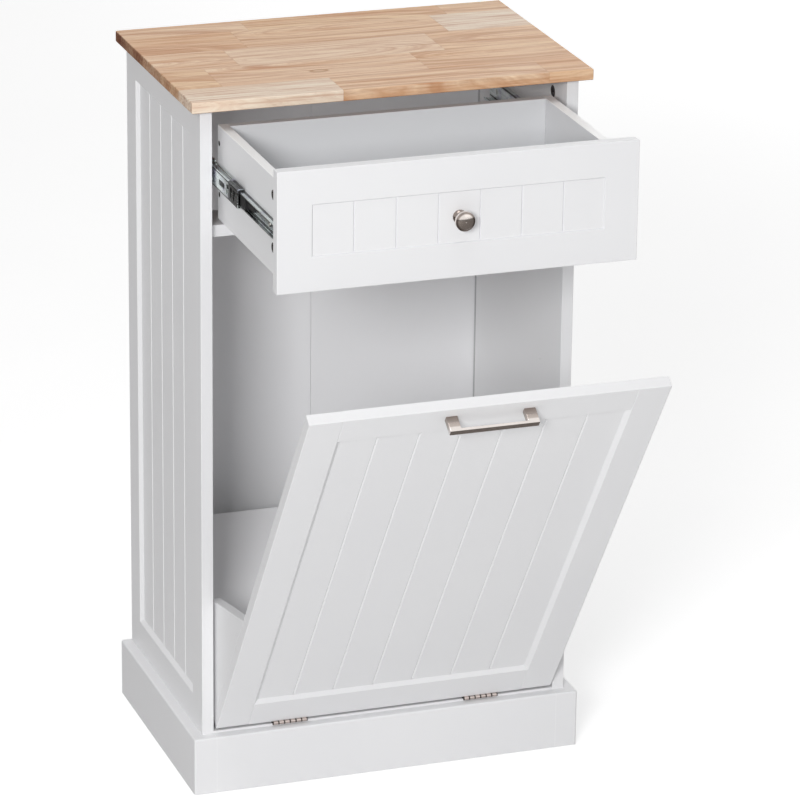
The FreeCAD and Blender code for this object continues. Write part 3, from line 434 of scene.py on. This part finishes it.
def satin_nickel():
    """Polished nickel, with painted shade in the turned knob's neck and round its rim."""
    nickel = Finish("satin_nickel", metallic=1.0)
    y = nickel.split(nickel.place)[1]
    brushed = nickel.stretched_noise((60, 900, 900), 3)
    cloud = nickel.noise(70, 3)
    front, seat = [corner.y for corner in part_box("drawer_knob")]
    knob = nickel.blend(cloud * 0.6, srgb(236, 228, 222), srgb(216, 206, 200))
    # Painted shade on the knob, from its seat to its front: the neck, then the rim.
    painted_shade_on_knob = nickel.ramp((seat - y) / (seat - front), [
        (0.42, grey(0.75)), (0.56, grey(0)), (0.84, grey(0)), (0.87, grey(0.75)), (0.92, grey(0.75)),
        (0.94, grey(0))])
    # The handle's posts are brushed, and darker towards the door with painted shade; its bar is polished.
    outward = OPEN["door"].to_3x3() @ Vector((0, -1, 0))
    door_face = outward.dot(OPEN["door"] @ Vector((0, HANDLE_SEAT, 0)))
    points = [vertex.co for vertex in frame["nodes"]["door_handle"].data.vertices]
    reach = max(outward.dot(point) for point in points) - door_face
    inputs = {0: nickel.place, 1: outward}
    off_door = nickel.node("VectorMath", {"operation": "DOT_PRODUCT"}, inputs, "Value")
    handle = nickel.ramp((off_door - door_face) / reach, [
        (0.0, srgb(150, 138, 131)), (0.66, srgb(196, 186, 179)), (0.74, srgb(240, 233, 228))])
    handle = nickel.blend(cloud * 0.3, handle, srgb(150, 138, 131))
    # The handle lies in front of all of the knob.
    shade = nickel.layered(knob, (y < front - 0.002, handle), (painted_shade_on_knob, srgb(96, 80, 72)))
    nickel.paint(base_color=shade, roughness=0.08 + 0.12 * brushed)
    return nickel.bump(brushed, 0.000004)


def rolled_zinc():
    """Zinc-plated strip with a faint rainbow, and dark grease and painted shade where the slides' balls run."""
    zinc = Finish("zinc_steel", metallic=1.0)
    x, y, z = zinc.split(zinc.place)
    brushed = zinc.stretched_noise((900, 50, 900), 3)
    plated = zinc.blend(zinc.noise(40, 3), srgb(236, 243, 244), srgb(196, 204, 200))
    rainbow = zinc.rise(zinc.noise(55, 2), 0.5, 0.7, top=0.6)
    # Heights off the slides' middle line are shares of HALF_SLIDE. The drawer's member shows in front of
    # the middle one, whose front end carries the retainer. Grease and painted shade darken bands on both,
    # and painted shade darkens the middle one round the retainer.
    retainer = 0.036
    off_line = abs(z - SLIDE_LEVEL) / HALF_SLIDE
    front_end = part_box("slide_middle_left")[0].y
    on_inner = zinc.stripe(off_line, 0.36, 0.39, 0.43, 0.46)
    on_middle = zinc.stripe(off_line, 0.57, 0.61, 0.68, 0.72)
    retainer_shade = (y < front_end + retainer) * 0.85
    grease_and_shade = zinc.blend(y > front_end, on_inner, zinc.maths("MAXIMUM", on_middle, retainer_shade))
    # Painted shade lines run along the flanges' outsides. Those of the drawer's member end at these
    # distances from the cabinet's middle; the middle member has one round its own.
    upper_end, lower_end, middle_shade_line_at = 0.2168, 0.2203, 0.2192
    off_middle = abs(x)
    upper_shade_line = (z > SLIDE_LEVEL) * (off_middle < upper_end) * (off_line > 0.52)
    lower_shade_line = (z < SLIDE_LEVEL) * (off_middle < lower_end) * (off_line > 0.465)
    between_shade_lines = abs(off_middle - upper_end) < 0.0005
    middle_shade_line = (y > front_end) * (off_line > 0.74) * (abs(off_middle - middle_shade_line_at) < 0.0015)
    shade_lines = (y < front_end) * (upper_shade_line + lower_shade_line * (1 - between_shade_lines)) + middle_shade_line
    shade = zinc.layered(plated, (rainbow, srgb(150, 140, 176)), (grease_and_shade, srgb(20, 21, 23)),
                         (shade_lines * 0.85, srgb(26, 26, 28)))
    zinc.paint(base_color=shade, roughness=0.2 + 0.14 * brushed)
    return zinc.bump(brushed, 0.000008)


def knuckled_steel():
    """The hinges' nickel-plated steel, with painted shade in the gaps between the knuckles."""
    knuckles = 6
    steel = Finish("hinge_steel", metallic=1.0)
    low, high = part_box("hinge_floor_leaf_right")
    along = (abs(steel.split(steel.place)[0]) - low.x) / ((high.x - low.x) / knuckles)
    from_joint = abs((along + 0.5).fraction() - 0.5)
    brushed = steel.stretched_noise((80, 700, 700), 3)
    plated = steel.blend(brushed, srgb(226, 214, 208), srgb(196, 184, 178))
    # Painted shade in the gaps between the knuckles.
    shaded_gap = steel.ramp(from_joint, [(0.08, grey(1)), (0.14, grey(0))])
    steel.paint(base_color=steel.blend(shaded_gap, plated, srgb(58, 46, 42)),
                roughness=0.24 + 0.12 * brushed)
    return steel.bump(brushed, 0.000008)


def black_plastic():
    """Moulded black plastic with a fine spark-eroded texture."""
    plastic = Finish("black_plastic", ior=1.46)
    grain = plastic.noise(1500, 2)
    plastic.paint(base_color=plastic.blend(grain, srgb(24, 24, 25), srgb(38, 38, 40)),
                  roughness=0.45 + 0.15 * grain)
    return plastic.bump(grain, 0.00003)


materials = {finish.name: finish.material for finish in (
    painted_board(),
    raw_backing(),
    jointed_wood(),
    plain_beech(),
    satin_nickel(),
    rolled_zinc(),
    knuckled_steel(),
    black_plastic(),
    plain_metal("ball_steel", srgb(222, 222, 224), srgb(200, 200, 204), 0.08, 400, 0.000002),
    plain_metal("fastener_steel", srgb(196, 196, 194), srgb(160, 158, 150), 0.26, 600, 0.000008),
    plain_metal("black_steel", srgb(58, 52, 50), srgb(36, 32, 32), 0.4, 500, 0.000008),
    plain_metal("cam_zinc", srgb(84, 80, 80), srgb(48, 44, 46), 0.45, 500, 0.00003),
)}


def dress(thing, node):
    """Give a thing the finish of a node: that of its slot, or the back's own foil."""
    material = materials["white_foil" if node.startswith("back_panel") else SLOT_OF[node]]
    if thing.material_slots:
        thing.material_slots[0].material = material
    else:
        thing.data.materials.append(material)


for node, thing in frame["nodes"].items():
    dress(thing, node)


# Pieces

# On pieces with smooth faces, edges between faces that turn by more than this stay sharp.
SHARP = math.radians(35)


def stand_in(kind, mesh, node, smooth=False):
    """A piece made of a bmesh, which stands for a node, rides with it and has its finish."""
    name = "%s_%s" % (kind, node)
    data = bpy.data.meshes.new(name)
    mesh.to_mesh(data)
    mesh.free()
    made = bpy.data.objects.new(name, data)
    bpy.context.scene.collection.objects.link(made)
    for face in data.polygons:
        face.use_smooth = smooth
    if smooth:
        data.set_sharp_from_angle(angle=SHARP)
    dress(made, node)
    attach(made, BODY_OF[node])
    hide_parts(node)


def closed_mesh(node):
    """A node's mesh with its flat faces whole, where it lies when the cabinet is closed."""
    mesh = bmesh.new()
    mesh.from_mesh(frame["nodes"][node].data)
    bmesh.ops.remove_doubles(mesh, verts=mesh.verts, dist=MERGED)
    bmesh.ops.dissolve_limit(mesh, angle_limit=FLAT, verts=mesh.verts, edges=mesh.edges)
    mesh.transform(OPEN[BODY_OF[node]].inverted())
    return mesh


def corners(meshes):
    """Lowest and highest corner of one or several bmeshes."""
    points = [vertex.co for mesh in meshes for vertex in mesh.verts]
    return (Vector(min(point[i] for point in points) for i in range(3)),
            Vector(max(point[i] for point in points) for i in range(3)))


def faces_touched(point, box):
    """Which of a box's six faces a point lies on."""
    return {(side, i) for side in (0, 1) for i in range(3) if abs(point[i] - box[side][i]) < ON_FACE}


def on_two_faces(edge, box):
    """Whether an edge is one of a box's twelve edges, or part of one."""
    return len(faces_touched(edge.verts[0].co, box) & faces_touched(edge.verts[1].co, box)) > 1


# Bevelling can leave corners and faces in another order each run. They are sorted along this
# direction, which is square to no edge of a board.
SORTED_ALONG = Vector((0.61, 0.37, 0.7))


def round_edges(mesh, edges, radius, steps):
    """Bevel edges, and put the mesh's corners and faces in an order that is the same each run."""
    bmesh.ops.bevel(mesh, geom=edges, offset=radius, segments=steps, profile=0.5, affect="EDGES",
                    clamp_overlap=True)
    mesh.verts.sort(key=lambda vert: vert.co.dot(SORTED_ALONG))
    mesh.faces.sort(key=lambda face: face.calc_center_median().dot(SORTED_ALONG))
    mesh.verts.index_update()
    mesh.faces.index_update()


def block(middle, size):
    """A cutter: a rectangular block."""
    mesh = bmesh.new()
    place = Matrix.Translation(middle) @ Matrix.Diagonal((*size, 1))
    bmesh.ops.create_cube(mesh, size=1, matrix=place)
    return mesh


def round_bar(middle, radius, length):
    """A cutter: a round bar along X."""
    mesh = bmesh.new()
    place = Matrix.Translation(middle) @ Matrix.Rotation(math.pi / 2, 4, "Y")
    bmesh.ops.create_cone(mesh, cap_ends=True, segments=24, radius1=radius, radius2=radius,
                          depth=length, matrix=place)
    return mesh


def carved(mesh, cutters):
    """A bmesh with the cutters taken out of it; all of them are used up."""
    things = []
    for part in [mesh] + cutters:
        data = bpy.data.meshes.new("carving")
        part.to_mesh(data)
        part.free()
        things.append(bpy.data.objects.new("carving", data))
        bpy.context.scene.collection.objects.link(things[-1])
    for cutter in things[1:]:
        cut = things[0].modifiers.new("cut", "BOOLEAN")
        cut.operation = "DIFFERENCE"
        cut.solver = "EXACT"
        cut.object = cutter
    graph = bpy.context.evaluated_depsgraph_get()
    result = bmesh.new()
    result.from_mesh(things[0].evaluated_get(graph).to_mesh())
    for thing in things:
        data = thing.data
        bpy.data.objects.remove(thing)
        bpy.data.meshes.remove(data)
    return result


def eased_board(node, frame_box=None, groove_at=None):
    """A painted board whose outer edges are softly rounded.

    On a board of the door's frame these are the frame's outer edges, and frame_box has its corners. A
    side panel's groove is a little wider than the back in it; groove_at is the panel's inner face.
    """
    mesh = closed_mesh(node)
    own = corners([mesh])
    if node.startswith("door_rail"):
        # A rail's ends are chamfered in front, so that a fine groove shows where they meet a stile.
        ends = [edge for edge in mesh.edges
                if on_two_faces(edge, own) and not on_two_faces(edge, frame_box)
                and abs(edge.verts[0].co.y - own[0].y) < ON_FACE]
        round_edges(mesh, ends, RAIL_END, 1)
    outer = [edge for edge in mesh.edges if on_two_faces(edge, frame_box or own)]
    round_edges(mesh, outer, EASE, EASE_STEPS)
    if groove_at is not None:
        low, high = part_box("back_panel_left")
        middle = Vector((groove_at, low.y - GROOVE_GAP / 2, (low.z + high.z) / 2))
        mesh = carved(mesh, [block(middle, (2 * GROOVE_DEPTH, GROOVE_GAP, high.z - low.z))])
    mesh.transform(OPEN[BODY_OF[node]])
    stand_in("eased", mesh, node)


door_frame = ("door_stile_left", "door_stile_right", "door_rail_top", "door_rail_bottom")
door_box = corners([closed_mesh(node) for node in door_frame])
for node in door_frame:
    eased_board(node, frame_box=door_box)
for node in ("drawer_front", "drawer_side_left", "drawer_side_right", "drawer_back", "drawer_rail",
             "tray_base", "floor_panel"):
    eased_board(node)
eased_board("side_panel_left", groove_at=-INNER_WALL)
eased_board("side_panel_right", groove_at=INNER_WALL)


# Fittings

# The slides' middle members are rolled from strip of this WALL. Their flanges dip by RACE for the
# balls, over RACE_SHARE of their width, from RACE_START of it on, and BEND is their corners' outside
# radius. Cutters of the length THROUGH reach through the wall.
WALL = 0.0012
RACE = 0.0007
RACE_START = 0.12
RACE_SHARE = 0.62
FLANGE_STEPS = 12
BEND = 1.4 * WALL
BEND_STEPS = 5
THROUGH = 0.005
# Long openings and hooked ones, each set at these shares of the member's length from its front end.
SLOTS_AT = (0.25, 0.5, 0.75)
SLOT_LENGTH = 0.016
SLOT_HEIGHT = 0.007
HOOKS_AT = (0.035, 0.085, 0.145)
# A hook is two blocks, each given as its place along and up from there, its length and its height.
HOOK = ((0.00275, 0.0035, 0.0085, 0.006), (0.00525, -0.0025, 0.0035, 0.008))


def rolled_section(low, high):
    """The left middle member's outline in X and Z: a channel that opens towards the drawer."""
    line = []
    for i in range(FLANGE_STEPS + 1):
        share = i / FLANGE_STEPS
        x = high.x + (low.x + BEND - high.x) * share
        dip = math.sin(math.pi * min(max((share - RACE_START) / RACE_SHARE, 0), 1)) ** 2
        line.append(Vector((x, high.z - WALL / 2 - RACE * dip)))
    centre = Vector((low.x + BEND, high.z - BEND))
    for i in range(1, BEND_STEPS + 1):
        angle = math.pi / 2 * (1 + i / BEND_STEPS)
        line.append(centre + Vector((math.cos(angle), math.sin(angle))) * (BEND - WALL / 2))
    line += [Vector((point.x, low.z + high.z - point.y)) for point in reversed(line)]
    outside, inside = [], []
    for before, point, after in zip([line[0]] + line, line, line[1:] + [line[-1]]):
        run = (after - before).normalized()
        across = Vector((-run.y, run.x)) * WALL / 2
        outside.append(point + across)
        inside.append(point - across)
    return outside + inside[::-1]


def prism(section, front, rear):
    """A closed outline in X and Z, drawn out from front to rear along Y."""
    mesh = bmesh.new()
    rings = [[mesh.verts.new((x, y, z)) for x, z in section] for y in (front, rear)]
    count = len(section)
    for i in range(count):
        mesh.faces.new((rings[0][i], rings[0][(i + 1) % count], rings[1][(i + 1) % count], rings[1][i]))
    mesh.faces.new(reversed(rings[0]))
    mesh.faces.new(rings[1])
    bmesh.ops.recalc_face_normals(mesh, faces=mesh.faces)
    return mesh


def slide_middles():
    """Both middle members of the slides, with openings where the black retainer shows through."""
    low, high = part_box("slide_middle_left")

    def on_web(share, along=0.0, up=0.0):
        return Vector((low.x, low.y + share * (high.y - low.y) + along, SLIDE_LEVEL + up))

    openings = []
    for share in SLOTS_AT:
        openings.append(block(on_web(share), (THROUGH, SLOT_LENGTH, SLOT_HEIGHT)))
        for end in (-SLOT_LENGTH / 2, SLOT_LENGTH / 2):
            openings.append(round_bar(on_web(share, end), SLOT_HEIGHT / 2, THROUGH))
    # The hooked openings lie round the catch, and a short tongue is left standing in each.
    for share in HOOKS_AT:
        for along, up, length, height in HOOK:
            openings.append(block(on_web(share, along, up), (THROUGH, length, height)))
    left = carved(prism(rolled_section(low, high), low.y, high.y), openings)
    right = left.copy()
    right.transform(Matrix.Diagonal((-1, 1, 1, 1)))
    bmesh.ops.reverse_faces(right, faces=right.faces)
    stand_in("rolled", left, "slide_middle_left", smooth=True)
    stand_in("rolled", right, "slide_middle_right", smooth=True)


slide_middles()

# A cross recess in a screw or cam: its arms' length and width, as shares of the head, and its depth.
CROSS_LENGTH = 0.62
CROSS_WIDTH = 0.17
SCREW_CROSS = 0.0012
CAM_CROSS = 0.002


def islands(node):
    """The separate solids of a node, each as a bmesh of its own."""
    whole = bmesh.new()
    whole.from_mesh(frame["nodes"][node].data)
    bmesh.ops.remove_doubles(whole, verts=whole.verts, dist=MERGED)
    whole.verts.index_update()
    neighbours = [[edge.other_vert(vert).index for edge in vert.link_edges] for vert in whole.verts]
    left = set(range(len(neighbours)))
    found = []
    while left:
        island = set()
        reached = {min(left)}
        while reached:
            island |= reached
            reached = {near for index in reached for near in neighbours[index]} - island
        left -= island
        part = whole.copy()
        part.verts.index_update()
        others = [vert for vert in part.verts if vert.index not in island]
        bmesh.ops.delete(part, geom=others, context="VERTS")
        found.append(part)
    whole.free()
    return found


def cross_slotted(node, open_end, depth):
    """Screws or cams with a cross recess in their open ends.

    open_end takes the place and the size of one and gives the axis and the sign of its open end.
    """
    mesh = bmesh.new()
    for part in islands(node):
        low, high = corners([part])
        face = (low + high) / 2
        axis, sign = open_end(face, high - low)
        face[axis] = high[axis] if sign > 0 else low[axis]
        arms = [i for i in range(3) if i != axis]
        head = max(high[i] - low[i] for i in arms)
        cutters = []
        for arm in arms:
            size = [head * CROSS_WIDTH] * 3
            size[arm] = head * CROSS_LENGTH
            size[axis] = 2 * depth
            cutters.append(block(face, size))
        data = bpy.data.meshes.new("slotted")
        cut = carved(part, cutters)
        cut.to_mesh(data)
        cut.free()
        mesh.from_mesh(data)
        bpy.data.meshes.remove(data)
    stand_in("cross", mesh, node, smooth=True)


def away_from_middle(place, size):
    """In the drawer's sides, from outside."""
    return 0, 1 if place.x > 0 else -1


def rearward(place, size):
    """In the drawer's front, from behind."""
    return 1, 1


def into_cabinet(place, size):
    """In the carcase's sides under the worktop, from inside, or else in the undersides of boards."""
    if size.x < size.z:
        return 0, -1 if place.x > 0 else 1
    return 2, -1


cross_slotted("drawer_cams", away_from_middle, CAM_CROSS)
cross_slotted("drawer_back_screws", away_from_middle, SCREW_CROSS)
cross_slotted("slide_inner_screws", away_from_middle, SCREW_CROSS)
cross_slotted("knob_screw", rearward, SCREW_CROSS)
cross_slotted("carcase_cams", into_cabinet, CAM_CROSS)


# Stage, light and camera

# The floor lies just below the cabinet's feet, and glows a little for the camera.
FLOOR_WIDTH = 30
FLOOR_LEVEL = -0.0005
FLOOR_GLOW = 0.45
ROOM_LIGHT = 0.3


def shade_floor():
    """A pale floor that the camera sees as white where nothing shades it."""
    floor = Finish("floor", roughness=0.9)
    pale = floor.blend(floor.noise(3, 2), srgb(238, 238, 238), srgb(242, 242, 242))
    # Painted reflection: to gloss rays alone the floor is darker, so polished metal mirrors a room's floor, darker
    # than the backdrop.
    mirrored = floor.node("LightPath", output="Is Glossy Ray")
    floor.paint(base_color=floor.blend(mirrored, pale, srgb(120, 114, 110)))
    glow = floor.node("Emission", inputs={"Color": WHITE, "Strength": FLOOR_GLOW})
    dark = floor.node("Emission", inputs={"Strength": 0.0})
    seen = floor.node("LightPath", output="Is Camera Ray")
    lift = floor.node("MixShader", inputs={0: seen, 1: dark, 2: glow})
    both = floor.node("AddShader", inputs={0: Wire(floor, floor.shader.outputs[0]), 1: lift})
    floor.join(both, floor.tree.nodes["Material Output"].inputs["Surface"])
    return floor.material


bpy.ops.mesh.primitive_plane_add(size=FLOOR_WIDTH, location=(0, 0, FLOOR_LEVEL))
ground = bpy.context.object
ground.name = "floor"
ground.data.materials.append(shade_floor())

# The room is white where it is seen or mirrored, and lights the cabinet softly.
world = bpy.data.worlds.new("studio")
bpy.context.scene.world = world
world.use_nodes = True
sky = Graph(world.node_tree)
seen = sky.node("LightPath", output="Is Camera Ray")
for ray in ("Is Glossy Ray", "Is Transmission Ray"):
    seen = sky.maths("MAXIMUM", seen, sky.node("LightPath", output=ray))
soft = sky.tree.nodes["Background"]
soft.inputs["Color"].default_value = WHITE
soft.inputs["Strength"].default_value = ROOM_LIGHT
white = sky.node("Background", inputs={"Color": WHITE, "Strength": 1.0})
either = sky.node("MixShader", inputs={0: seen, 1: Wire(sky, soft.outputs[0]), 2: white})
sky.join(either, sky.tree.nodes["World Output"].inputs["Surface"])

# Square lamps that face the cabinet: place, width and watts.
FACED = Vector((0, -0.3, 0.45))
LAMPS = {
    "key_light": ((-2.5, -4.7, 2.4), 1.2, 146),
    "front_light": ((2.2, -4.6, 2.7), 3.0, 6),
    "top_light": ((-0.5, -1.0, 4.2), 2.0, 33),
    "rear_light": ((3.0, 4.0, 1.6), 2.2, 35),
}
for name, (place, width, watts) in LAMPS.items():
    lamp = bpy.data.lights.new(name, "AREA")
    lamp.shape = "SQUARE"
    lamp.size = width
    lamp.energy = watts
    holder = bpy.data.objects.new(name, lamp)
    holder.location = place
    holder.rotation_euler = (FACED - Vector(place)).to_track_quat("-Z", "Y").to_euler()
    bpy.context.scene.collection.objects.link(holder)

bpy.context.scene.view_settings.view_transform = "Standard"

# The photograph's view: from the front left and above, through a long lens. YAW turns it towards the
# right of straight rearward, PITCH down from level, and ROLL about the line of sight.
VIEW_FROM = Vector((-1.7439, -5.3498, 2.4458))
YAW = math.radians(19.274)
PITCH = math.radians(20.136)
ROLL = math.radians(0.697)
SENSOR_MM = 36
LENS_MM = 207
lens = bpy.data.cameras.new("photo_view")
lens.sensor_width = SENSOR_MM
lens.lens = LENS_MM
lens.clip_start = 0.1
lens.clip_end = 60
camera = bpy.data.objects.new("photo_view", lens)
turn = Matrix.Rotation(-YAW, 4, "Z") @ Matrix.Rotation(math.pi / 2 - PITCH, 4, "X")
camera.matrix_world = Matrix.Translation(VIEW_FROM) @ turn @ Matrix.Rotation(ROLL, 4, "Z")
bpy.context.scene.collection.objects.link(camera)
bpy.context.scene.camera = camera
